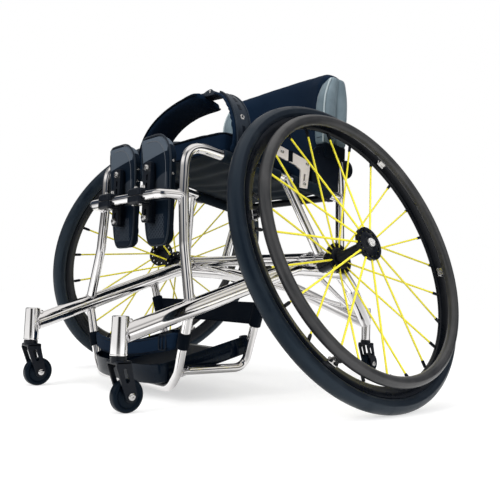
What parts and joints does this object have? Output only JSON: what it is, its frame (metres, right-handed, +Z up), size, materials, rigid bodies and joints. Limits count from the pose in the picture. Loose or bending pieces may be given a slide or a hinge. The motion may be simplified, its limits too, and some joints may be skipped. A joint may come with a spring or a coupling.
{
  "type": "tennis wheelchair",
  "caption": "Rigid sports wheelchair with strongly cambered spoked wheels, small swivel casters, knee pads, thigh strap and a low padded back.",
  "frame": {"origin": "on the floor below the middle of the chair's bounding box", "axes": "+Z up, the chair faces -Y, +X is the sitter's left side"},
  "size_m": [0.899, 0.939, 0.712],
  "materials": {
    "polished": "polished",
    "steel": "bright",
    "black_metal": "black anodised",
    "black_plastic": "matte",
    "tyre_rubber": "matte tread",
    "caster_rubber": "satin",
    "black_fabric": "woven",
    "handrim_coat": "grip coated",
    "yellow_fibre": "satin"
  },
  "bodies": {
    "frame": {"left_axle_pin": "steel", "left_side_tube": "polished", "left_upright_and_rail": "polished", "left_back_post": "polished", "left_seat_strut": "polished", "left_knee_pad": "black_fabric", "left_pad_bracket": "black_metal", "left_seat_plate": "polished", "left_side_panel": "black_plastic", "left_caster_housing": "polished", "right_axle_pin": "steel", "right_side_tube": "polished", "right_upright_and_rail": "polished", "right_back_post": "polished", "right_seat_strut": "polished", "right_knee_pad": "black_fabric", "right_pad_bracket": "black_metal", "right_seat_plate": "polished", "right_side_panel": "black_plastic", "right_caster_housing": "polished", "tail_caster_housing": "polished", "axle_tube": "polished", "foot_frame": "polished", "knee_bar": "polished", "tail_brace": "steel", "footplate": "black_plastic", "calf_strap": "black_fabric", "foot_strap": "black_fabric", "seat_sling": "black_fabric", "seat_cushion": "black_fabric", "seat_cross_tube": "black_metal", "backrest": "black_fabric", "push_bar": "black_fabric", "thigh_pad": "black_fabric", "strap_ladder": "black_plastic", "buckle_base": "black_metal"},
    "left_wheel": {"left_tyre": "tyre_rubber", "left_rim": "black_metal", "left_handrim": "handrim_coat", "left_outer_spokes": "yellow_fibre", "left_inner_spokes": "yellow_fibre", "left_hub": "black_metal"},
    "left_button": {"left_release_button": "steel"},
    "left_swivel": {"left_caster_fork": "black_metal", "left_caster_bolt": "steel"},
    "left_roller": {"left_caster_wheel": "caster_rubber"},
    "right_wheel": {"right_tyre": "tyre_rubber", "right_rim": "black_metal", "right_handrim": "handrim_coat", "right_outer_spokes": "yellow_fibre", "right_inner_spokes": "yellow_fibre", "right_hub": "black_metal"},
    "right_button": {"right_release_button": "steel"},
    "right_swivel": {"right_caster_fork": "black_metal", "right_caster_bolt": "steel"},
    "right_roller": {"right_caster_wheel": "caster_rubber"},
    "tail_swivel": {"tail_caster_fork": "black_metal", "tail_caster_bolt": "steel"},
    "tail_roller": {"tail_caster_wheel": "caster_rubber"},
    "strap_lever": {"buckle_lever": "black_plastic"}
  },
  "joints": [
    {"name": "left_wheel_spin", "type": "hinge", "parent": "frame", "child": "left_wheel", "pos_m": [0.3155, -0.036, 0.29337], "axis": [0.9373, 0, 0.3486], "continuous": true},
    {"name": "left_button_press", "type": "slide", "parent": "frame", "child": "left_button", "axis": [-0.9373, 0, -0.3486], "range_m": [0, 0.0025], "stiffness_N_per_m": 600, "springref_m": -0.002},
    {"name": "left_caster_swivel", "type": "hinge", "parent": "frame", "child": "left_swivel", "pos_m": [0.172, -0.4555, 0.092], "axis": [0, 0, 1], "continuous": true},
    {"name": "left_caster_roll", "type": "hinge", "parent": "left_swivel", "child": "left_roller", "pos_m": [0.172, -0.437, 0.028], "axis": [1, 0, 0], "continuous": true},
    {"name": "right_wheel_spin", "type": "hinge", "parent": "frame", "child": "right_wheel", "pos_m": [-0.3155, -0.036, 0.29337], "axis": [-0.9373, 0, 0.3486], "continuous": true},
    {"name": "right_button_press", "type": "slide", "parent": "frame", "child": "right_button", "axis": [0.9373, 0, -0.3486], "range_m": [0, 0.0025], "stiffness_N_per_m": 600, "springref_m": -0.002},
    {"name": "right_caster_swivel", "type": "hinge", "parent": "frame", "child": "right_swivel", "pos_m": [-0.172, -0.4555, 0.092], "axis": [0, 0, 1], "continuous": true},
    {"name": "right_caster_roll", "type": "hinge", "parent": "right_swivel", "child": "right_roller", "pos_m": [-0.172, -0.437, 0.028], "axis": [1, 0, 0], "continuous": true},
    {"name": "tail_caster_swivel", "type": "hinge", "parent": "frame", "child": "tail_swivel", "pos_m": [0, 0.423, 0.092], "axis": [0, 0, 1], "continuous": true},
    {"name": "tail_caster_roll", "type": "hinge", "parent": "tail_swivel", "child": "tail_roller", "pos_m": [0, 0.4415, 0.028], "axis": [1, 0, 0], "continuous": true},
    {"name": "strap_lever_lift", "type": "hinge", "parent": "frame", "child": "strap_lever", "pos_m": [0.06759, -0.201, 0.61538], "axis": [0, 1, 0], "range_deg": [0, 75]}
  ]
}
